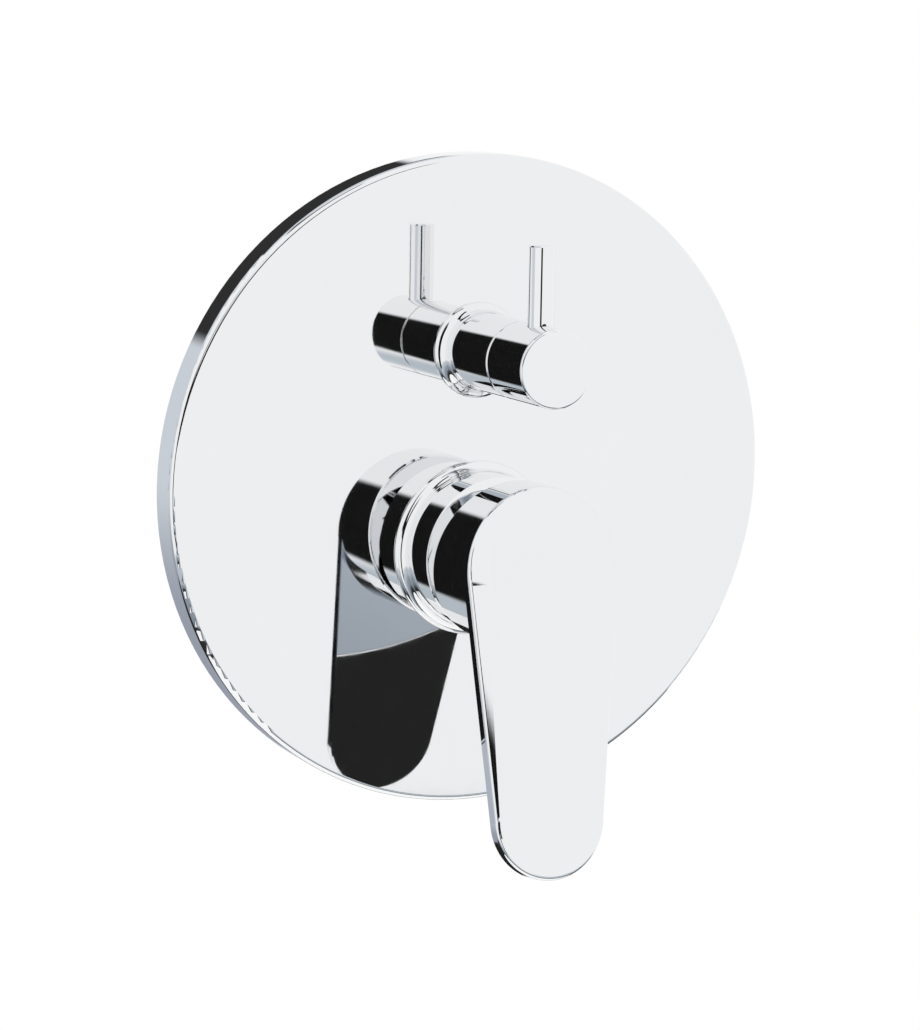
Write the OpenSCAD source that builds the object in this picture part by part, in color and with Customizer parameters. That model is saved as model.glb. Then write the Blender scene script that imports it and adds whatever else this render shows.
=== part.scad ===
// Concealed shower mixer: a round wall plate with a diverter knob above a single-lever mixer.
// Millimetres. The wall plane is y = 0, the front is -Y and up is +Z.
// The origin is the centre of the wall plate on the wall plane.
// Inside the helper frames below, local Z is the distance out from the wall plane.

/* [Part] */
// which node is built

/* [Wall plate] */
// outer diameter of the wall plate
plate_d = 200; // [150:1:240]
// how far the plate face stands off the wall
plate_out = 10.7; // [6:0.1:16]
// sheet thickness of the plate
plate_wall = 1.6; // [1:0.1:3]
// round of the front edge of the plate
plate_round = 1.7; // [0.8:0.1:4]

/* [Mixer] */
// height of the mixer axis
mixer_z = -20.5; // [-40:0.5:0]
// outer diameter of the mixer sleeve
mixer_sleeve_d = 48.4; // [44:0.2:60]
// wall of the mixer sleeve
mixer_sleeve_wall = 2.5; // [1.5:0.1:4]
// distance from the wall to the edge where the mixer sleeve turns into its front cone
mixer_sleeve_out = 27.2; // [22:0.1:32]
// diameter of the ceramic cartridge
cartridge_d = 35; // [25:1:40]

/* [Lever] */
// diameter of the lever hub
hub_d = 50; // [44:0.5:60]
// distance from the wall to the lever pivot
pivot_out = 20; // [15:0.5:24]
// distance from the wall to the rear of the hub, on the mixer axis
hub_rear_out = 33.7; // [30:0.1:40]
// distance from the wall to the lever face, on the mixer axis
lever_face_out = 58.7; // [50:0.1:70]
// how far the closed lever hangs below square
lever_rest = 9.5; // [4:0.5:14]
// outward tilt of the lever face
lever_face_tilt = 10.6; // [0:0.1:20]
// turn of the lever about the mixer axis
lever_turn = 3; // [-45:0.5:45]
// distance from the mixer axis to the centre of the rounded tip
tip_drop = 72.2; // [50:0.2:100]
// radius of the rounded tip
tip_r = 18; // [10:0.5:24]
// thickness of the lever paddle where it leaves the hub
paddle_t = 5.3; // [4:0.1:8]

/* [Diverter] */
// height of the diverter axis
diverter_z = 40.5; // [30:0.5:60]
// outer diameter of the diverter knob and its sleeve
knob_d = 23.7; // [18:0.1:36]
// distance from the wall to the seam between sleeve and knob
seam_out = 40.5; // [30:0.1:50]
// distance from the wall to the front of the knob
knob_out = 62.7; // [50:0.1:75]
// diameter of the diverter pin
pin_d = 7.75; // [5:0.05:10]
// distance from the wall to the axis of the diverter pin
pin_out = 51.6; // [46:0.1:58]
// how far the pin stands above the knob
pin_stand = 23.3; // [12:0.1:40]

/* [Body] */
// distance between the two inlet faces
inlet_span = 116; // [100:1:180]
// depth of the four connections behind the wall plane
port_depth = 34; // [25:0.5:50]
// height of the upper outlet face
outlet_top = 80; // [70:1:110]
// height of the lower outlet face, below the origin
outlet_bottom = 85; // [75:1:120]
// minor radius of the G 1/2 connection threads
port_r = 9.3; // [8:0.1:12]
// depth of the connection threads
port_len = 14; // [10:0.5:20]

/* [Hidden] */
$fn = 96;
eps = 0.01;
sliding_gap = 0.3;
seat_gap = 0.1;

plate_r = plate_d / 2;
sleeve_r = mixer_sleeve_d / 2;
sleeve_bore_r = sleeve_r - mixer_sleeve_wall;
cover_slope = 16;
cover_wall = 1.5;
cover_open_r = 14;
cover_tip_out = mixer_sleeve_out + sleeve_r * tan(cover_slope);
cover_back_out = cover_tip_out - cover_wall / cos(cover_slope);
foot_reach = 2.8;
foot_t = 1.5;
foot_round = 1.3;
foot_flare = 2.6;
tail_step = 0.8;
gasket_t = 3;
gasket_wide = 6;

neck_r = sleeve_bore_r - seat_gap;
neck_out = 24;
ring_section_r = 0.9;
mixer_ring_out = 17;

cartridge_r = cartridge_d / 2;
cartridge_bore_r = cartridge_r + 0.2;
cartridge_floor = -12;
base_t = 5;
disc_t = 3;
housing_wall = 2.2;
housing_bore_r = cartridge_r - housing_wall;
shoulder_out = 16;
shoulder_t = 2.4;
housing_neck_r = 12.5;
housing_neck_out = 24;
rotor_neck_r = 10.4;
rotor_r = housing_bore_r - sliding_gap;
rotor_back = 1.6;
rotor_front = 25;
carrier_front = 4.6;
moving_disc_r = 11.5;
fixed_disc_r = 14.8;
fixed_disc_out = cartridge_floor + base_t;
moving_disc_out = fixed_disc_out + disc_t;
moving_disc_t = 2.8;
carrier_out = moving_disc_out + moving_disc_t;
carrier_flange_t = 2.4;

inlet_port_x = 5.6;
inlet_port_y = -6.5;
inlet_port_r = 2.4;
mixed_port_y = 2;
mixed_port_r = 3;
port_seal_r = 0.8;
port_seal_wide = 1.3;

nut_r = 19;
nut_bore_r = housing_neck_r + 0.3;
nut_thread_end = 21;
nut_front = 25.5;
nut_flats = 32;

stem_side = 8;
stem_len = 27.3;
stem_foot = 16.5;
foot_ball_r = 3;
foot_shift = stem_foot * sin(lever_rest);
pivot_r = 2;
pivot_len = 19.6;
boss_r = 5;

hub_r = hub_d / 2;
hub_rear_round = 0.6;
rear_s = (hub_rear_out - pivot_out) * cos(lever_rest);
rear_lean = 2.4;
rear_reach = hub_r;
rear_last = 60;
corner_r = 1.2;
shoulder_r = 22;
shoulder_turn = 17;
head_last = 65;
head_run = 45;
step = 0.01;
crown = 0.03;
barrel_over = 0.05;
corner_level = -shoulder_r + (shoulder_r - corner_r) * cos(shoulder_turn);
head_lift = corner_r * tan(lever_face_tilt) + hub_r * (1 / cos(lever_face_tilt) - 1) + 0.13;
paddle_chamfer = 0.3;
tip_l = tip_drop + head_lift;
side_lean = asin((hub_r - tip_r) / tip_l);
side_len = tip_l * cos(side_lean);
shoulder_drop = shoulder_r * (1 - cos(shoulder_turn));
tip_rise = 0.9 * shoulder_drop;
fade = atan(tip_rise / side_len);
core_r = 20;
core_depth = 7;
core_boss_r = 9.5;
grub_s = 24.3;
grub_r = 2.5;
grub_len = 10;
cap_r = 3.2;
cap_start = 17.5;

knob_r = knob_d / 2;
dsleeve_wall = 1.9;
dsleeve_bore_r = knob_r - dsleeve_wall;
seam = 0.4;
knob_round = 0.7;
dfoot_flare = 3.6;
pin_r = pin_d / 2;
pin_top = knob_r + pin_stand;
pin_thread_r = 2.5;
spindle_r = 4;
dneck_r = 8.4;
dneck_out = 36;
dring_out = 31;
dfloor = -21;
ddisc_r = 8;
ddisc_t = 2.5;
dmoving_t = 2.2;
dchamber_r = 11.5;
dthread_r = 10.4;
dseal_r = 0.75;
dskirt_r = 9.9;
dskirt_bore_r = 8.3;
dhole_ring = 5;
dhole_angle = 50;
dfixed_hole_r = 2;
dmoving_hole_r = 1.7;
dmoving_out = dfloor + ddisc_t;
dflange_out = dmoving_out + dmoving_t;
dflange_t = 2.8;
dpot_front = 2;
dhex_flats = 24;
dhex_t = 6;
dport_x = dhole_ring * sin(dhole_angle);
dport_y = dhole_ring * cos(dhole_angle);

pot_r = 24;
pot_back = -port_depth - 10;
arm_r = 13.5;
column_r = 12.6;
hex_flats = 27;
hex_len = 12;
inlet_bore_r = 7.5;
mixed_bore_r = 3.4;
mixed_level = -17.5;
outlet_bore_r = 5;
bypass_r = 4.5;
bypass_level = -port_depth - 13;
bypass_cross_z = -62;
bypass_cross_r = 4.1;
lug_x = 40;
lug_y = 22;
lug_r = 7;
lug_hole_r = 2.8;
lug_front = -26;
lug_back = -46;
screw_r = 2.5;
screw_thread_r = 2.1;
screw_thread_start = -47;
screw_head_r = 4.7;
screw_head_t = 3;
screw_end = -58;

// Frames

module at_wall() {
    rotate([90, 0, 0]) children();
}

module at_mixer() {
    translate([0, 0, mixer_z]) rotate([90, 0, 0]) children();
}

module turned() {
    at_mixer() rotate([0, 0, -lever_turn]) children();
}

// local Z runs along the stem, the pivot is the origin
module on_stem() {
    turned() translate([0, 0, pivot_out]) rotate([lever_rest, 0, 0]) children();
}

// local Z is square to the lever face, which is z = 0
module on_face() {
    turned() translate([0, 0, lever_face_out]) rotate([-lever_face_tilt, 0, 0]) children();
}

module at_diverter() {
    translate([0, 0, diverter_z]) rotate([90, 0, 0]) children();
}

// Shared shapes

// a cylinder from distance a to distance b along local Z
module span(a, b, r) {
    translate([0, 0, a]) cylinder(h = b - a, r = r);
}

module o_ring(ring_r, section_r, level) {
    translate([0, 0, level]) rotate_extrude() translate([ring_r, 0]) circle(r = section_r);
}

module hexagon(a, b, flats) {
    translate([0, 0, a]) cylinder(h = b - a, r = flats / sqrt(3), $fn = 6);
}

// half section of a sleeve foot: a thin lip with a round edge, flaring into the sleeve wall
module foot_section(wall_r, flare) {
    lip_r = wall_r + foot_reach;
    translate([wall_r - eps, 0]) square([foot_reach - foot_round + eps, foot_t]);
    translate([wall_r - eps, 0]) square([foot_reach + eps, foot_t - foot_round]);
    intersection() {
        translate([lip_r - foot_round, foot_t - foot_round]) circle(r = foot_round);
        translate([lip_r - foot_round, foot_t - foot_round]) square(foot_round + 1);
    }
    difference() {
        translate([wall_r - eps, foot_t]) square([min(flare, foot_reach - 0.5) + eps, flare]);
        translate([wall_r + flare, foot_t + flare]) circle(r = flare);
    }
}

// Wall plate

module plate_section() {
    difference() {
        union() {
            square([plate_r, plate_out - plate_round]);
            square([plate_r - plate_round, plate_out]);
            translate([plate_r - plate_round, plate_out - plate_round]) circle(r = plate_round);
        }
        translate([-eps, -eps]) square([plate_r - plate_wall + eps, plate_out - plate_wall + eps]);
    }
}

module wall_plate() {
    color("silver") difference() {
        at_wall() rotate_extrude() plate_section();
        at_mixer() span(0, plate_out + 1, sleeve_r);
        at_diverter() span(0, plate_out + 1, knob_r);
    }
}

module plate_gasket() {
    color("dimgray") at_wall() difference() {
        span(0, gasket_t, plate_r - plate_wall);
        span(-1, gasket_t + 1, plate_r - plate_wall - gasket_wide);
    }
}

// Sleeves

// the sleeve closes in front as a shallow cone, which leaves a round opening for the lever stem
module mixer_sleeve() {
    tail_r = sleeve_r - tail_step;
    color("silver") at_mixer() difference() {
        union() {
            span(plate_out - plate_wall - 1, plate_out + eps, tail_r);
            rotate_extrude() polygon([[0, plate_out], [sleeve_r, plate_out],
                                      [sleeve_r, mixer_sleeve_out], [0, cover_tip_out]]);
            translate([0, 0, plate_out]) rotate_extrude() foot_section(sleeve_r, foot_flare);
        }
        rotate_extrude() polygon([[0, 0], [sleeve_bore_r, 0],
                                  [sleeve_bore_r, cover_back_out - sleeve_bore_r * tan(cover_slope)],
                                  [0, cover_back_out]]);
        span(0, cover_tip_out + 1, cover_open_r);
    }
}

module mixer_sleeve_ring() {
    color("black") at_mixer()
        o_ring(sleeve_bore_r - ring_section_r, ring_section_r, mixer_ring_out);
}

module diverter_sleeve() {
    tail_r = knob_r - tail_step;
    color("silver") at_diverter() difference() {
        union() {
            span(plate_out - plate_wall - 1, plate_out + eps, tail_r);
            span(plate_out, seam_out - knob_round, knob_r);
            span(plate_out, seam_out, knob_r - knob_round);
            o_ring(knob_r - knob_round, knob_round, seam_out - knob_round);
            translate([0, 0, plate_out]) rotate_extrude() foot_section(knob_r, dfoot_flare);
        }
        span(0, seam_out - 2, dsleeve_bore_r);
        span(0, seam_out + 1, spindle_r + 1.5);
    }
}

module diverter_sleeve_ring() {
    color("black") at_diverter()
        o_ring(dsleeve_bore_r - ring_section_r, ring_section_r, dring_out);
}

// Valve body

module body_outside() {
    at_mixer() {
        span(pot_back, 3, pot_r);
        span(0, neck_out, neck_r);
    }
    translate([0, port_depth, mixer_z]) rotate([0, 90, 0]) {
        translate([0, 0, -inlet_span / 2]) cylinder(h = inlet_span, r = arm_r);
        hexagon(-inlet_span / 2, -inlet_span / 2 + hex_len, hex_flats + 2);
        hexagon(inlet_span / 2 - hex_len, inlet_span / 2, hex_flats + 2);
    }
    translate([0, port_depth, 0]) {
        span(-outlet_bottom, outlet_top, column_r);
        hexagon(-outlet_bottom, -outlet_bottom + hex_len, hex_flats + 2);
        hexagon(outlet_top - hex_len, outlet_top, hex_flats + 2);
    }
    at_diverter() span(-port_depth, dpot_front, dchamber_r + 2.5);
    translate([0, -mixed_level, 0]) span(mixer_z, diverter_z, mixed_bore_r + 4);
    translate([dport_x, -bypass_level, 0]) {
        span(bypass_cross_z - bypass_r - 3, diverter_z + dport_y + 6, bypass_r + 3);
    }
    translate([dport_x, 0, diverter_z + dport_y]) rotate([-90, 0, 0]) {
        span(port_depth - 10, -bypass_level, 6);
    }
    for (sx = [-1, 1]) {
        for (sz = [-1, 1]) {
            translate([sx * lug_x, 0, mixer_z + sz * lug_y]) rotate([90, 0, 0]) {
                span(lug_back, lug_front, lug_r);
            }
        }
        translate([sx * lug_x - 3, -lug_front, mixer_z - lug_y]) {
            cube([6, lug_front - lug_back, 2 * lug_y]);
        }
    }
}

module body_inside() {
    at_mixer() {
        span(cartridge_floor, neck_out + 1, cartridge_bore_r);
        span(shoulder_out - 0.5, neck_out + 1, nut_r + 0.2);
        for (sx = [-1, 1]) {
            translate([sx * inlet_port_x, inlet_port_y, 0]) {
                span(-port_depth, cartridge_floor + 1, inlet_port_r);
            }
            translate([sx * 13, 9, 0]) span(cartridge_floor - 2.2, cartridge_floor + 1, 1.6);
        }
        translate([0, mixed_port_y, 0]) span(mixed_level, cartridge_floor + 1, mixed_port_r);
        difference() {
            span(mixer_ring_out - ring_section_r - 0.1, mixer_ring_out + ring_section_r + 0.1, neck_r + 1);
            span(0, neck_out, sleeve_bore_r - 2 * ring_section_r);
        }
    }
    for (sx = [-1, 1]) {
        translate([0, port_depth, mixer_z]) rotate([0, sx * 90, 0]) {
            span(inlet_port_x - inlet_port_r - 0.2, inlet_span / 2, inlet_bore_r);
            span(inlet_span / 2 - port_len, inlet_span / 2 + 1, port_r);
        }
    }
    translate([0, -mixed_level, 0]) {
        span(mixer_z + mixed_port_y - mixed_port_r - 0.8, diverter_z, mixed_bore_r);
    }
    at_diverter() {
        span(dfloor, dpot_front + 1, dskirt_r + 0.2);
        span(dfloor + 2, -6, dchamber_r);
        span(-6, dpot_front + 1, dthread_r + 0.1);
        span(dpot_front - 2 * dseal_r, dpot_front + 1, dthread_r + 2 * dseal_r + 0.1);
        translate([-dport_x, dport_y, 0]) span(-port_depth, dfloor + 1, dfixed_hole_r);
        translate([dport_x, dport_y, 0]) span(bypass_level, dfloor + 1, dfixed_hole_r);
    }
    translate([-dport_x, port_depth, 0]) {
        span(diverter_z + dport_y - dfixed_hole_r - 1.1, outlet_top - port_len + 1, outlet_bore_r);
    }
    translate([dport_x, -bypass_level, 0]) {
        span(bypass_cross_z - bypass_r - 0.6, diverter_z + dport_y + 3, bypass_r);
    }
    translate([dport_x, 0, bypass_cross_z]) rotate([-90, 0, 0]) {
        span(port_depth, -bypass_level, bypass_cross_r);
    }
    translate([0, port_depth, 0]) {
        span(outlet_top - port_len, outlet_top + 1, port_r);
        span(-outlet_bottom - 1, -outlet_bottom + port_len, port_r);
        span(-outlet_bottom, bypass_cross_z + bypass_r + 1.5, inlet_bore_r);
    }
    for (sx = [-1, 1]) {
        for (sz = [-1, 1]) {
            translate([sx * lug_x, 0, mixer_z + sz * lug_y]) rotate([90, 0, 0]) {
                span(lug_back - 1, lug_front + 1, lug_hole_r);
            }
        }
    }
}

module valve_body() {
    color("goldenrod") difference() {
        body_outside();
        body_inside();
    }
}

module body_screws() {
    color("lightgray") for (sx = [-1, 1]) {
        for (sz = [-1, 1]) {
            translate([sx * lug_x, 0, mixer_z + sz * lug_y]) rotate([90, 0, 0]) difference() {
                union() {
                    span(screw_end, screw_thread_start + eps, screw_thread_r);
                    span(screw_thread_start, lug_front + eps, screw_r);
                    span(lug_front, lug_front + screw_head_t, screw_head_r);
                }
                hexagon(lug_front + 1, lug_front + screw_head_t + 1, 4);
            }
        }
    }
}

// Cartridge

module ports(a, b, grow) {
    for (sx = [-1, 1]) {
        translate([sx * inlet_port_x, inlet_port_y, 0]) span(a, b, inlet_port_r + grow);
    }
    translate([0, mixed_port_y, 0]) span(a, b, mixed_port_r + grow);
}

module cartridge_base() {
    seal_depth = 2 * port_seal_r;
    color("white") at_mixer() {
        difference() {
            span(cartridge_floor, fixed_disc_out, cartridge_r - 0.2);
            ports(cartridge_floor - 1, fixed_disc_out + 1, 0);
            ports(cartridge_floor - 1, cartridge_floor + seal_depth, port_seal_wide + port_seal_r);
        }
        for (sx = [-1, 1]) {
            translate([sx * 13, 9, 0]) span(cartridge_floor - 2, cartridge_floor + eps, 1.5);
            translate([sx * 13.8, 0, 0]) span(fixed_disc_out - eps, fixed_disc_out + 2, 1);
        }
    }
}

module cartridge_seals() {
    level = cartridge_floor + port_seal_r;
    color("black") at_mixer() {
        for (sx = [-1, 1]) {
            translate([sx * inlet_port_x, inlet_port_y, 0]) {
                o_ring(inlet_port_r + port_seal_wide, port_seal_r, level);
            }
        }
        translate([0, mixed_port_y, 0]) o_ring(mixed_port_r + port_seal_wide, port_seal_r, level);
    }
}

module fixed_disc() {
    color("ivory") at_mixer() difference() {
        span(fixed_disc_out, moving_disc_out, fixed_disc_r);
        ports(fixed_disc_out - 1, moving_disc_out + 1, 0);
        for (sx = [-1, 1]) {
            translate([sx * 13.8, 0, 0]) span(fixed_disc_out - 1, moving_disc_out + 1, 1.15);
        }
    }
}

// pegs that key the moving disc to its carrier
module disc_pegs(a, b, r) {
    for (sx = [-1, 1]) {
        translate([sx * 6.5, 7.2, 0]) span(a, b, r);
    }
}

module moving_disc() {
    chamber = 1.5;
    color("ivory") turned() translate([0, foot_shift, 0]) difference() {
        span(moving_disc_out, carrier_out, moving_disc_r);
        translate([-8.2, -6, moving_disc_out - 1]) cube([16.4, 7, chamber + 1]);
        translate([0, 3, 0]) span(moving_disc_out - 1, moving_disc_out + chamber, 5.5);
        disc_pegs(carrier_out - 1.1, carrier_out + 1, 1.3);
    }
}

module disc_carrier() {
    block_x = 16;
    block_y = 12;
    color("gray") turned() translate([0, foot_shift, 0]) difference() {
        union() {
            span(carrier_out, carrier_out + carrier_flange_t, moving_disc_r);
            translate([-block_x / 2, -block_y / 2, carrier_out]) {
                cube([block_x, block_y, carrier_front - carrier_out]);
            }
            disc_pegs(carrier_out - 1, carrier_out + 1, 1.2);
        }
        translate([-foot_ball_r - sliding_gap, -foot_ball_r - sliding_gap, 0]) {
            cube([2 * (foot_ball_r + sliding_gap), 2 * (foot_ball_r + sliding_gap), 10]);
        }
    }
}

module cartridge_housing() {
    color("whitesmoke") at_mixer() difference() {
        union() {
            span(fixed_disc_out, shoulder_out, cartridge_r);
            span(shoulder_out - eps, housing_neck_out, housing_neck_r);
        }
        span(fixed_disc_out - 1, shoulder_out - shoulder_t, housing_bore_r);
        span(0, housing_neck_out + 1, rotor_neck_r + sliding_gap);
    }
}

module cartridge_rotor() {
    guide_x = 16.6;
    guide_y = 18.4;
    slot_x = stem_side + 2 * sliding_gap;
    slot_y = 11.4;
    color("lightgray") turned() difference() {
        union() {
            span(rotor_back, shoulder_out - shoulder_t - sliding_gap, rotor_r);
            span(rotor_back, rotor_front, rotor_neck_r);
        }
        translate([-guide_x / 2, -guide_y / 2, rotor_back - 1]) {
            cube([guide_x, guide_y, carrier_front + 0.4 - rotor_back + 1]);
        }
        translate([-slot_x / 2, -slot_y / 2, 0]) cube([slot_x, slot_y, rotor_front + 1]);
        translate([-rotor_r, 0, pivot_out]) rotate([0, 90, 0]) {
            cylinder(h = 2 * rotor_r, r = pivot_r + 0.02);
        }
    }
}

module pivot_pin() {
    color("lightsteelblue") turned() {
        translate([-pivot_len / 2, 0, pivot_out]) rotate([0, 90, 0]) {
            cylinder(h = pivot_len, r = pivot_r);
        }
    }
}

module lever_stem() {
    shank_x = 6;
    shank_y = 5;
    color("lightsteelblue") on_stem() difference() {
        union() {
            translate([-stem_side / 2, -stem_side / 2, 0]) cube([stem_side, stem_side, stem_len]);
            translate([-stem_side / 2, 0, 0]) rotate([0, 90, 0]) cylinder(h = stem_side, r = boss_r);
            translate([-shank_x / 2, -shank_y / 2, -stem_foot]) cube([shank_x, shank_y, stem_foot]);
            translate([0, 0, -stem_foot]) sphere(r = foot_ball_r);
        }
        translate([-stem_side, 0, 0]) rotate([0, 90, 0]) {
            cylinder(h = 2 * stem_side, r = pivot_r + sliding_gap);
        }
    }
}

module clamp_nut() {
    color("goldenrod") at_mixer() difference() {
        union() {
            span(shoulder_out, nut_thread_end, nut_r);
            hexagon(nut_thread_end - eps, nut_front, nut_flats);
        }
        span(0, nut_front + 1, nut_bore_r);
    }
}

// Lever

// half section of the lever edge, reaching r = reach: a soft shoulder, then a tight corner
module edge_top(reach, inner, depth) {
    cx = reach - corner_r;
    sx = cx - (shoulder_r - corner_r) * sin(shoulder_turn);
    low = (shoulder_r - depth) * tan(shoulder_turn);
    wide = (shoulder_r + 1) * tan(shoulder_turn);
    translate([inner, -depth]) square([sx - inner, depth]);
    intersection() {
        translate([sx, -shoulder_r - step]) circle(r = shoulder_r);
        polygon([[sx - 1, -depth], [sx + low, -depth], [sx + wide, 1], [sx - 1, 1]]);
    }
    translate([cx - step, corner_level - step]) circle(r = corner_r);
}

// the whole edge of the paddle, with a chamfer at the back
module edge_section(reach, inner, depth) {
    side = reach - 2 * step;
    edge_top(reach, inner, depth);
    polygon([[inner, -depth],
             [side - paddle_chamfer, -depth],
             [side, -depth + paddle_chamfer],
             [side, corner_level],
             [reach - corner_r, corner_level],
             [inner, -depth + 0.8]]);
}

// the edge of the hub face: the same corner, running off as a cone that leaves the hub barrel
module head_section() {
    cx = hub_r + crown - corner_r;
    px = cx + (corner_r - 2 * step) * sin(head_last);
    py = corner_level + (corner_r - 2 * step) * cos(head_last);
    edge_top(hub_r + crown, 0, paddle_t);
    polygon([[0, py - head_run * sin(head_last)],
             [px + head_run * cos(head_last), py - head_run * sin(head_last)],
             [px, py],
             [cx, corner_level],
             [0, -paddle_t + 0.8]]);
}

// the rear corner of the hub: a round that runs off as a cone
module rear_section() {
    run = 60;
    cx = rear_reach - hub_rear_round;
    cy = rear_s + hub_rear_round;
    px = cx + (hub_rear_round - 2 * step) * sin(rear_last);
    py = cy - (hub_rear_round - 2 * step) * cos(rear_last);
    translate([0, rear_s]) square([cx, 2 * hub_rear_round]);
    translate([cx - step, cy + step]) circle(r = hub_rear_round);
    polygon([[0, cy + 0.8],
             [cx, cy],
             [px, py],
             [px + run * cos(rear_last), py + run * sin(rear_last)],
             [0, py + run * sin(rear_last)]]);
}

module hub() {
    intersection() {
        turned() span(hub_rear_out - 12, lever_face_out + 12, hub_r + barrel_over);
        on_stem() translate([0, rear_lean, 0]) rotate_extrude() rear_section();
        on_face() translate([0, head_lift, crown]) rotate_extrude() head_section();
    }
}

// one side of the paddle: the edge rises towards the tip, so the face cuts the shoulder away
module paddle_side(beyond) {
    translate([0, head_lift, 0]) rotate([0, 0, -side_lean]) rotate([90 - fade, 0, 0]) {
        translate([0, 0, -beyond / 2]) linear_extrude(side_len + beyond) {
            edge_section(hub_r, -beyond, paddle_t);
        }
    }
}

// the paddle between its two leaning sides, with its face cut flat
module paddle_flat() {
    beyond = 60;
    top = head_lift - hub_r * sin(side_lean);
    bottom = -tip_drop - tip_r * sin(side_lean);
    intersection() {
        paddle_side(beyond);
        mirror([1, 0, 0]) paddle_side(beyond);
        translate([-hub_r - 5, bottom, -paddle_t - 1]) cube([2 * hub_r + 10, top - bottom, paddle_t + 1]);
    }
}

module tip() {
    translate([0, -tip_drop, crown]) intersection() {
        translate([0, 0, tip_rise]) rotate_extrude() edge_section(tip_r + crown, 0, paddle_t);
        span(-paddle_t - 1, 0, tip_r + 5);
    }
}

module paddle() {
    on_face() {
        paddle_flat();
        tip();
    }
}

// a cylinder from the stem out through the underside of the hub
module under_screw(a, b, r) {
    on_stem() translate([0, 0, grub_s]) rotate([90, 0, 0]) span(a, b, r);
}

module lever_handle() {
    socket = stem_side + 2 * 0.05;
    color("silver") difference() {
        union() {
            hub();
            paddle();
        }
        on_stem() {
            translate([-socket / 2, -socket / 2, rear_s - 8]) {
                cube([socket, socket, stem_len + 0.3 - rear_s + 8]);
            }
            difference() {
                span(rear_s - 5, rear_s + core_depth, core_r);
                span(rear_s - 6, rear_s + core_depth + 1, core_boss_r);
            }
        }
        under_screw(0, hub_r + 8, grub_r + 0.05);
        under_screw(cap_start, hub_r + 8, cap_r + 0.05);
    }
}

module lever_grub_screw() {
    start = stem_side / 2;
    color("dimgray") difference() {
        under_screw(start, start + grub_len, grub_r);
        on_stem() translate([0, 0, grub_s]) rotate([90, 0, 0]) {
            hexagon(start + grub_len - 3, start + grub_len + 1, 2.5);
        }
    }
}

module lever_screw_cap() {
    color("silver") intersection() {
        under_screw(cap_start, hub_r + 8, cap_r);
        turned() span(hub_rear_out - 8, lever_face_out, hub_r);
    }
}

// Diverter

module diverter_housing() {
    color("goldenrod") at_diverter() difference() {
        union() {
            span(dfloor + ddisc_t - 1, -6 + eps, dskirt_r);
            span(-6, dpot_front + eps, dthread_r);
            hexagon(dpot_front, dpot_front + dhex_t, dhex_flats);
            span(dpot_front + dhex_t - eps, dneck_out, dneck_r);
        }
        span(dfloor - 1, dflange_out + dflange_t + 0.4, dskirt_bore_r);
        span(-6, 0, spindle_r + 1.1);
        span(dfloor, dneck_out + 1, spindle_r + 0.1);
        for (a = [0, 90]) {
            rotate([0, 0, a]) translate([-dthread_r - 2, -2.5, -12.5]) cube([2 * dthread_r + 4, 5, 5]);
        }
        difference() {
            span(dring_out - 1, dring_out + 1, dneck_r + 1);
            span(0, dneck_out, dsleeve_bore_r - 2 * ring_section_r);
        }
    }
}

module diverter_housing_ring() {
    color("black") at_diverter()
        o_ring(dthread_r + dseal_r, dseal_r, dpot_front - dseal_r);
}

module diverter_port_seals() {
    color("black") at_diverter() for (sx = [-1, 1]) {
        translate([sx * dport_x, dport_y, 0]) o_ring(dfixed_hole_r + 0.7, 0.5, dfloor + 0.5);
    }
}

module diverter_fixed_disc() {
    color("ivory") at_diverter() difference() {
        span(dfloor, dmoving_out, ddisc_r);
        for (sx = [-1, 1]) {
            translate([sx * dport_x, dport_y, 0]) {
                span(dfloor - 1, dmoving_out + 1, dfixed_hole_r);
                span(dfloor - 1, dfloor + 1, dfixed_hole_r + 1.2);
            }
        }
    }
}

module diverter_moving_disc() {
    color("ivory") at_diverter() difference() {
        span(dmoving_out, dflange_out, ddisc_r);
        translate([0, dhole_ring, 0]) span(dmoving_out - 1, dflange_out + 1, dmoving_hole_r);
        for (sx = [-1, 1]) {
            translate([sx * 5, -3, 0]) span(dflange_out - 1.1, dflange_out + 1, 1.1);
        }
    }
}

module diverter_spindle() {
    color("goldenrod") at_diverter() difference() {
        union() {
            span(dflange_out, dflange_out + dflange_t, ddisc_r - 0.1);
            span(dflange_out, 58, spindle_r);
            for (sx = [-1, 1]) {
                translate([sx * 5, -3, 0]) span(dflange_out - 1, dflange_out + 1, 1);
            }
        }
        translate([-2, 3, dflange_out - 1]) cube([4, 6, dflange_t + 2]);
        translate([0, 0, pin_out]) rotate([-90, 0, 0]) span(2.5, 6, pin_thread_r + 0.05);
        span(-4.9, -3.1, spindle_r + 1);
    }
    color("goldenrod") at_diverter() span(-5, -3, spindle_r - 0.7);
}

module diverter_spindle_ring() {
    color("black") at_diverter() o_ring(spindle_r + 0.2, 0.9, -4);
}

module diverter_knob() {
    color("silver") at_diverter() difference() {
        union() {
            span(seam_out + seam, knob_out - knob_round, knob_r);
            span(seam_out + seam, knob_out, knob_r - knob_round);
            o_ring(knob_r - knob_round, knob_round, knob_out - knob_round);
        }
        span(seam_out, 58.5, spindle_r + 0.05);
        translate([0, 0, pin_out]) rotate([-90, 0, 0]) span(0, knob_r + 1, pin_thread_r + 0.05);
        translate([0, 0, pin_out]) rotate([-90, 0, 0]) span(knob_r - 1.5, knob_r + 1, pin_r + 0.05);
    }
}

module diverter_pin() {
    edge = 0.4;
    color("silver") at_diverter() translate([0, 0, pin_out]) rotate([-90, 0, 0]) {
        span(2.6, knob_r - 1.5 + eps, pin_thread_r);
        span(knob_r - 1.5, pin_top - edge, pin_r);
        translate([0, 0, pin_top - edge]) cylinder(h = edge, r1 = pin_r, r2 = pin_r - edge);
    }
}

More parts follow.
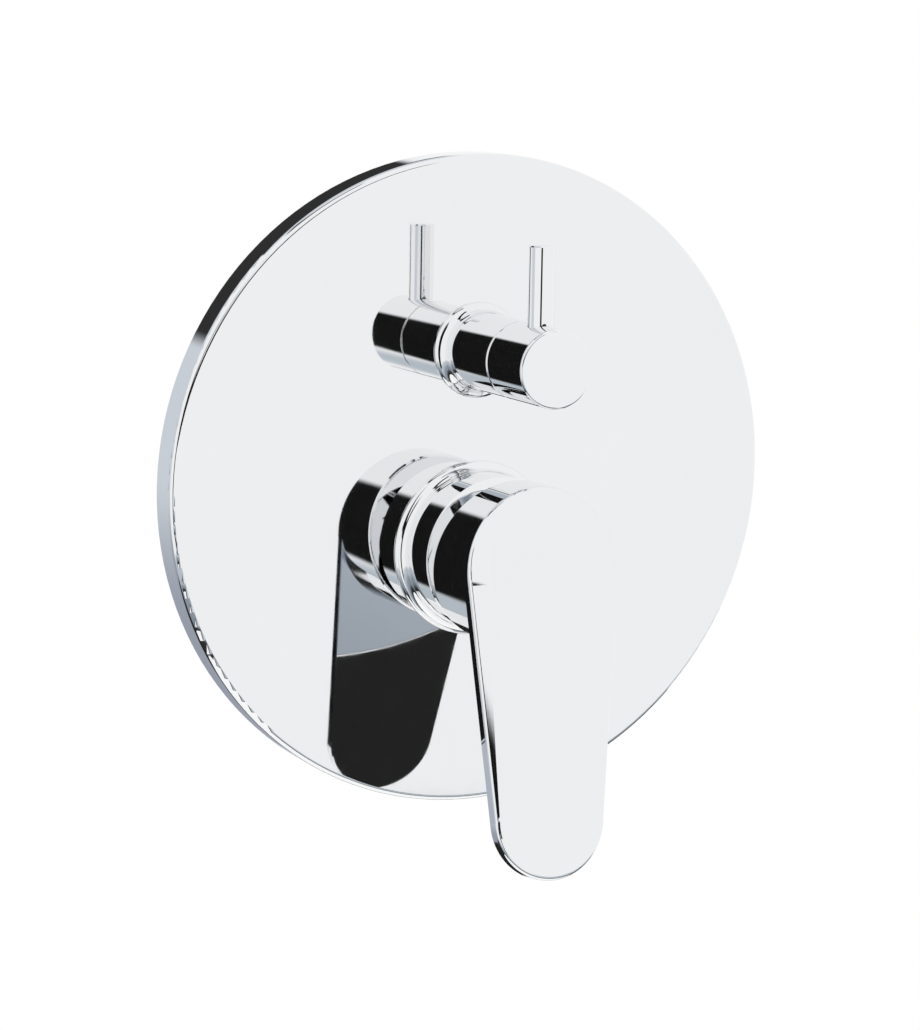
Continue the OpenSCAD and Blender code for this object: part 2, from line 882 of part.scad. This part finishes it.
wall_plate();
plate_gasket();
mixer_sleeve();
mixer_sleeve_ring();
diverter_sleeve();
diverter_sleeve_ring();
valve_body();
body_screws();
cartridge_base();
cartridge_seals();
fixed_disc();
moving_disc();
disc_carrier();
cartridge_housing();
cartridge_rotor();
pivot_pin();
lever_stem();
clamp_nut();
lever_handle();
lever_grub_screw();
lever_screw_cap();
diverter_housing();
diverter_housing_ring();
diverter_port_seals();
diverter_fixed_disc();
diverter_moving_disc();
diverter_spindle();
diverter_spindle_ring();
diverter_knob();
diverter_pin();
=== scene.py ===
import math

import bpy
from mathutils import Matrix, Vector

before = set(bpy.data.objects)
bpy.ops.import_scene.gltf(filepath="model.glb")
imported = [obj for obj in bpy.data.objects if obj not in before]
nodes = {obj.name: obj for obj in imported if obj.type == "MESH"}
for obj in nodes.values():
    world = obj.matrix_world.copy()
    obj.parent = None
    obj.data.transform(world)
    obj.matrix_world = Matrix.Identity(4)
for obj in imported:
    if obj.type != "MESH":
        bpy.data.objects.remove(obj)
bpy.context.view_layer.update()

MM = 0.001

# the camera's place and lens, fitted to the photograph
CAMERA_AZIMUTH = -26.199
CAMERA_ELEVATION = 9.362
CAMERA_ROLL = 0.991
CAMERA_TARGET_MM = (0.157, 0, -12.091)
CAMERA_DISTANCE_MM = 1054.955
PHOTO_HEIGHT = 1030
FOCAL_PIXELS = 3410.399
SENSOR_MM = 36

# where the valve body is turned bright instead of cast, in metres from the origin
PORT_END_X = 0.0562
OUTLET_TOP_Z = 0.0782
OUTLET_BOTTOM_Z = -0.0832
MOUTH_FRONT_Y = -0.0060
TURNED_EDGE = 0.0004

# the shower floor's depth below the fitting, and its profile as radius and rise, in metres
FLOOR_DEPTH = 1.1
FLOOR_RINGS = ((0.3, 0.0), (0.6, 0.0), (0.80, 0.002), (0.88, 0.012))
FLOOR_STEPS = 96

# the dark strip and the two dark spots in front of the wall, as x from, x to, z from, z to of the direction
DARK_SHAPES = ((-0.50, 0.405, -0.045, 0.127),
               (0.34, 0.46, -0.40, -0.25),
               (-0.40, 0.0, 0.85, 0.94))
GAP_BEND = 0.8


# Camera: the photograph's viewing angle, from the left and a little above

def make_camera():
    azimuth = math.radians(CAMERA_AZIMUTH)
    elevation = math.radians(CAMERA_ELEVATION)
    roll = math.radians(CAMERA_ROLL)
    back = Vector((math.sin(azimuth) * math.cos(elevation),
                   -math.cos(azimuth) * math.cos(elevation),
                   math.sin(elevation)))
    right = Vector((math.cos(azimuth), math.sin(azimuth), 0))
    up = back.cross(right)
    side = right * math.cos(roll) + up * math.sin(roll)
    top = up * math.cos(roll) - right * math.sin(roll)
    spot = Vector(CAMERA_TARGET_MM) * MM + back * CAMERA_DISTANCE_MM * MM
    data = bpy.data.cameras.new("camera")
    data.sensor_width = SENSOR_MM
    data.lens = FOCAL_PIXELS / PHOTO_HEIGHT * SENSOR_MM
    data.clip_start = 0.01
    camera = bpy.data.objects.new("camera", data)
    camera.matrix_world = Matrix((
        (side.x, top.x, back.x, spot.x),
        (side.y, top.y, back.y, spot.y),
        (side.z, top.z, back.z, spot.z),
        (0, 0, 0, 1)))
    bpy.context.scene.collection.objects.link(camera)
    bpy.context.scene.camera = camera


# Node helpers

class Nodes:
    """Builds a node tree: each call adds one node and returns the socket that it gives."""

    def __init__(self, tree):
        self.tree = tree

    def add(self, kind, **settings):
        node = self.tree.nodes.new(kind)
        for name, value in settings.items():
            setattr(node, name, value)
        return node

    def feed(self, socket, value):
        if isinstance(value, bpy.types.NodeSocket):
            self.tree.links.new(value, socket)
        else:
            socket.default_value = value

    def math(self, operation, a, b=0.0):
        node = self.add("ShaderNodeMath", operation=operation)
        self.feed(node.inputs[0], a)
        self.feed(node.inputs[1], b)
        return node.outputs[0]

    def ramp(self, value, low, high, to_low=0.0, to_high=1.0):
        node = self.add("ShaderNodeMapRange", interpolation_type="SMOOTHSTEP")
        self.feed(node.inputs["Value"], value)
        node.inputs["From Min"].default_value = low
        node.inputs["From Max"].default_value = high
        node.inputs["To Min"].default_value = to_low
        node.inputs["To Max"].default_value = to_high
        return node.outputs["Result"]

    def blend(self, factor, a, b):
        node = self.add("ShaderNodeMix", data_type="RGBA")
        self.feed(node.inputs[0], factor)
        self.feed(node.inputs[6], a)
        self.feed(node.inputs[7], b)
        return node.outputs[2]

    def place(self):
        return self.add("ShaderNodeTexCoord").outputs["Object"]

    def noise(self, place, scale, detail=3.0, roughness=0.5):
        node = self.add("ShaderNodeTexNoise")
        self.feed(node.inputs["Vector"], place)
        node.inputs["Scale"].default_value = scale
        node.inputs["Detail"].default_value = detail
        node.inputs["Roughness"].default_value = roughness
        return node.outputs["Fac"]

    def bump(self, height, strength, distance, under=None):
        node = self.add("ShaderNodeBump")
        node.inputs["Strength"].default_value = strength
        node.inputs["Distance"].default_value = distance
        self.feed(node.inputs["Height"], height)
        if under is not None:
            self.feed(node.inputs["Normal"], under)
        return node.outputs["Normal"]


def grey(level):
    return (level, level, level, 1)


def new_material(name, metallic):
    material = bpy.data.materials.new(name)
    material.use_nodes = True
    shader = material.node_tree.nodes["Principled BSDF"]
    shader.inputs["Metallic"].default_value = metallic
    return material, shader, Nodes(material.node_tree)


def finish_surface(n, shader, tones, rough, grain, depth, strength=1.0):
    """Two close tones in soft clouds, and a fine grain in the roughness and the normal."""
    place = n.place()
    clouds = n.noise(place, 45, 4)
    fine = n.noise(place, grain, 3, 0.6)
    n.feed(shader.inputs["Base Color"], n.blend(n.ramp(clouds, 0.35, 0.65), tones[0], tones[1]))
    n.feed(shader.inputs["Roughness"], n.ramp(fine, 0.3, 0.7, rough[0], rough[1]))
    n.feed(shader.inputs["Normal"], n.bump(fine, strength, depth))


def chrome():
    material, shader, n = new_material("polished_chrome", 1.0)
    place = n.place()
    clouds = n.noise(place, 30, 3)
    smear = n.noise(place, 160, 4, 0.55)
    cool, warm = (0.900, 0.906, 0.915, 1), (0.915, 0.918, 0.924, 1)
    n.feed(shader.inputs["Base Color"], n.blend(n.ramp(clouds, 0.3, 0.7), cool, warm))
    n.feed(shader.inputs["Roughness"], n.ramp(smear, 0.3, 0.7, 0.018, 0.036))
    n.feed(shader.inputs["Normal"], n.bump(n.noise(place, 220, 2), 0.04, 0.00002))
    return material


def cast_brass():
    """A sand-cast body, with its port ends and mouths turned bright."""
    material, shader, n = new_material("cast_brass", 1.0)
    place = n.place()
    parts = n.add("ShaderNodeSeparateXYZ")
    n.feed(parts.inputs[0], place)
    x, y, z = parts.outputs
    ends = n.ramp(n.math("ABSOLUTE", x), PORT_END_X, PORT_END_X + TURNED_EDGE)
    top = n.ramp(z, OUTLET_TOP_Z, OUTLET_TOP_Z + TURNED_EDGE)
    bottom = n.ramp(z, OUTLET_BOTTOM_Z, OUTLET_BOTTOM_Z - TURNED_EDGE)
    front = n.ramp(y, MOUTH_FRONT_Y, MOUTH_FRONT_Y - TURNED_EDGE)
    turned = n.math("MAXIMUM", n.math("MAXIMUM", ends, top), n.math("MAXIMUM", bottom, front))
    clouds = n.noise(place, 55, 5)
    sand = n.noise(place, 1500, 4, 0.7)
    pits = n.noise(place, 420, 2, 0.5)
    cast = n.blend(n.ramp(clouds, 0.3, 0.7), (0.60, 0.405, 0.165, 1), (0.73, 0.515, 0.235, 1))
    n.feed(shader.inputs["Base Color"], n.blend(turned, cast, (0.83, 0.62, 0.30, 1)))
    coarse = n.ramp(sand, 0.3, 0.7, 0.34, 0.50)
    rough = n.add("ShaderNodeMix", data_type="FLOAT")
    n.feed(rough.inputs[0], turned)
    n.feed(rough.inputs[2], coarse)
    n.feed(rough.inputs[3], n.ramp(sand, 0.3, 0.7, 0.16, 0.22))
    n.feed(shader.inputs["Roughness"], rough.outputs[0])
    height = n.math("ADD", sand, n.math("MULTIPLY", pits, 0.8))
    height = n.math("MULTIPLY", height, n.math("SUBTRACT", 1.0, n.math("MULTIPLY", turned, 0.92)))
    n.feed(shader.inputs["Normal"], n.bump(height, 0.55, 0.00012))
    return material


def turned_metal(name, tones, rough):
    """A lathe-turned surface: fine rings round the Y axis with a little wander."""
    material, shader, n = new_material(name, 1.0)
    place = n.place()
    wave = n.add("ShaderNodeTexWave", wave_type="BANDS", bands_direction="Y")
    n.feed(wave.inputs["Vector"], place)
    wave.inputs["Scale"].default_value = 900
    wave.inputs["Distortion"].default_value = 0.6
    wave.inputs["Detail Scale"].default_value = 0.4
    clouds = n.noise(place, 90, 4)
    fine = n.noise(place, 900, 3, 0.6)
    n.feed(shader.inputs["Base Color"], n.blend(n.ramp(clouds, 0.35, 0.65), tones[0], tones[1]))
    n.feed(shader.inputs["Roughness"], n.ramp(fine, 0.3, 0.7, rough[0], rough[1]))
    first = n.bump(wave.outputs["Fac"], 0.35, 0.000012)
    n.feed(shader.inputs["Normal"], n.bump(fine, 0.15, 0.00001, first))
    return material


def ceramic():
    material, shader, n = new_material("lapped_ceramic", 0.0)
    tones = ((0.86, 0.845, 0.79, 1), (0.90, 0.885, 0.835, 1))
    finish_surface(n, shader, tones, (0.10, 0.20), 700, 0.000008, 0.3)
    shader.inputs["IOR"].default_value = 1.7
    return material


def moulded(name, tones, rough):
    """Injection-moulded plastic: faint flow clouds over a fine spark-eroded grain."""
    material, shader, n = new_material(name, 0.0)
    finish_surface(n, shader, tones, rough, 1800, 0.00003, 0.4)
    shader.inputs["IOR"].default_value = 1.5
    return material


def rubber():
    material, shader, n = new_material("black_rubber", 0.0)
    tones = ((0.016, 0.016, 0.017, 1), (0.030, 0.030, 0.031, 1))
    finish_surface(n, shader, tones, (0.42, 0.60), 1400, 0.00003, 0.5)
    shader.inputs["IOR"].default_value = 1.52
    return material


def foam():
    """Closed-cell foam: small bubbles that a cell texture presses into the normal, with painted shade
    darkening the colour in each bubble's pit.
    """
    material, shader, n = new_material("gasket_foam", 0.0)
    place = n.place()
    cells = n.add("ShaderNodeTexVoronoi")
    n.feed(cells.inputs["Vector"], place)
    cells.inputs["Scale"].default_value = 1600
    # painted shade: the colour turns darker towards each bubble's pit, following the same cell distance
    # that sinks the pit in the bump
    tone = n.ramp(cells.outputs["Distance"], 0.0, 0.6)
    pit_painted_shade, raised = (0.030, 0.030, 0.033, 1), (0.075, 0.075, 0.080, 1)
    n.feed(shader.inputs["Base Color"], n.blend(tone, pit_painted_shade, raised))
    n.feed(shader.inputs["Roughness"], n.ramp(n.noise(place, 500), 0.3, 0.7, 0.78, 0.92))
    n.feed(shader.inputs["Normal"], n.bump(cells.outputs["Distance"], 0.7, 0.00015))
    return material


def dress(material, names):
    for name in names:
        mesh = nodes[name].data
        mesh.materials.clear()
        mesh.materials.append(material)


def dress_all():
    dress(chrome(), ["wall_plate", "mixer_sleeve", "diverter_sleeve", "lever_handle",
                     "lever_screw_cap", "diverter_knob", "diverter_pin"])
    dress(cast_brass(), ["valve_body"])
    dress(turned_metal("turned_brass", ((0.74, 0.53, 0.235, 1), (0.82, 0.61, 0.30, 1)), (0.16, 0.27)),
          ["clamp_nut", "diverter_housing", "diverter_spindle"])
    dress(turned_metal("turned_steel", ((0.55, 0.56, 0.58, 1), (0.64, 0.65, 0.67, 1)), (0.20, 0.32)),
          ["body_screws", "pivot_pin", "lever_stem", "lever_grub_screw"])
    dress(ceramic(), ["fixed_disc", "moving_disc", "diverter_fixed_disc", "diverter_moving_disc"])
    dress(moulded("white_plastic", ((0.80, 0.80, 0.775, 1), (0.85, 0.85, 0.83, 1)), (0.36, 0.50)),
          ["cartridge_base", "cartridge_housing"])
    dress(moulded("grey_plastic", ((0.17, 0.18, 0.195, 1), (0.21, 0.22, 0.24, 1)), (0.38, 0.52)),
          ["disc_carrier", "cartridge_rotor"])
    dress(rubber(), ["mixer_sleeve_ring", "cartridge_seals", "diverter_sleeve_ring",
                     "diverter_housing_ring", "diverter_port_seals", "diverter_spindle_ring"])
    dress(foam(), ["plate_gasket"])


# Studio: a white surround with a tall dark gap in front, a pale floor, soft light from all sides

def window(n, x, z, side, x_from, x_to, z_from, z_to, soft):
    """1 inside a soft-edged block of directions on one side of the wall plane, 0 outside."""
    half = soft / 2
    left = n.ramp(x, x_from - half, x_from + half)
    mask = n.math("MULTIPLY", left, n.ramp(x, x_to - half, x_to + half, 1, 0))
    mask = n.math("MULTIPLY", mask, n.ramp(z, z_from - half, z_from + half))
    mask = n.math("MULTIPLY", mask, n.ramp(z, z_to - half, z_to + half, 1, 0))
    return n.math("MULTIPLY", mask, side)


def make_world():
    world = bpy.data.worlds.new("studio")
    bpy.context.scene.world = world
    world.use_nodes = True
    tree = world.node_tree
    tree.nodes.clear()
    n = Nodes(tree)
    direction = n.add("ShaderNodeTexCoord").outputs["Generated"]
    parts = n.add("ShaderNodeSeparateXYZ")
    n.feed(parts.inputs[0], direction)
    x, y, z = parts.outputs
    front = n.ramp(y, -0.05, 0.05, 1, 0)
    behind = n.ramp(y, -0.05, 0.05)

    # in front of the wall: white, dimmer below, with a tall bent gap, a low strip and two dark spots
    tone = n.blend(n.ramp(z, -0.44, -0.37, 1, 0), (0.93, 0.935, 0.94, 1), (0.52, 0.57, 0.62, 1))
    tone = n.blend(n.ramp(z, -0.62, -0.46, 1, 0), tone, (0.27, 0.31, 0.35, 1))
    tone = n.blend(n.ramp(z, -0.74, -0.64, 1, 0), tone, grey(0.03))
    bent = n.math("SUBTRACT", x, n.math("MULTIPLY", n.math("MULTIPLY", z, z), GAP_BEND))
    dark = window(n, bent, z, front, -0.56, -0.345, -0.42, 0.43, 0.04)
    for shape in DARK_SHAPES:
        dark = n.math("MAXIMUM", dark, window(n, x, z, front, *shape, 0.02))
    tone = n.blend(dark, tone, grey(0.008))

    # behind the wall plane: what the rim, the mirrored lever and the hollow sides show
    rear = n.blend(n.ramp(z, -0.42, -0.10, 1, 0), (0.62, 0.66, 0.71, 1), (0.32, 0.35, 0.41, 1))
    rear_dark = window(n, x, z, behind, -0.50, 0.36, 0.235, 0.75, 0.04)
    rear = n.blend(rear_dark, rear, grey(0.03))
    side = n.math("MULTIPLY", n.ramp(x, 0.30, 0.40), n.math("SUBTRACT", 1.0, rear_dark))
    rear = n.blend(side, rear, grey(0.95))
    rear = n.blend(n.ramp(z, -0.50, -0.46, 1, 0), rear, grey(0.018))
    tone = n.blend(behind, tone, rear)

    soft = n.blend(n.ramp(z, -0.7, 0.4), grey(0.80), grey(1.06))
    path = n.add("ShaderNodeLightPath")
    seen = n.blend(path.outputs["Is Glossy Ray"], soft, tone)
    seen = n.blend(path.outputs["Is Camera Ray"], seen, grey(1.0))
    background = n.add("ShaderNodeBackground")
    n.feed(background.inputs["Color"], seen)
    background.inputs["Strength"].default_value = 1.0
    out = n.add("ShaderNodeOutputWorld")
    tree.links.new(background.outputs[0], out.inputs["Surface"])


def make_floor():
    """A pale round sheet where the shower floor would be, curled up a little at its rim."""
    steps = FLOOR_STEPS
    points = [(0, 0, -FLOOR_DEPTH)]
    faces = []
    for radius, rise in FLOOR_RINGS:
        for i in range(steps):
            turn = 2 * math.pi * i / steps
            points.append((radius * math.cos(turn), radius * math.sin(turn), rise - FLOOR_DEPTH))
    for i in range(steps):
        j = (i + 1) % steps
        faces.append((0, 1 + i, 1 + j))
        for ring in range(len(FLOOR_RINGS) - 1):
            a = 1 + ring * steps
            b = a + steps
            faces.append((a + i, b + i, b + j, a + j))
    mesh = bpy.data.meshes.new("floor")
    mesh.from_pydata(points, [], faces)
    for polygon in mesh.polygons:
        polygon.use_smooth = True
    floor = bpy.data.objects.new("floor", mesh)
    bpy.context.scene.collection.objects.link(floor)
    material, shader, n = new_material("floor_white", 0.0)
    n.feed(shader.inputs["Base Color"], n.blend(n.noise(n.place(), 6), grey(0.955), grey(0.975)))
    shader.inputs["Roughness"].default_value = 0.9
    shader.inputs["Specular IOR Level"].default_value = 0.2
    mesh.materials.append(material)


bpy.context.scene.view_settings.view_transform = "Standard"
make_camera()
make_world()
make_floor()
dress_all()
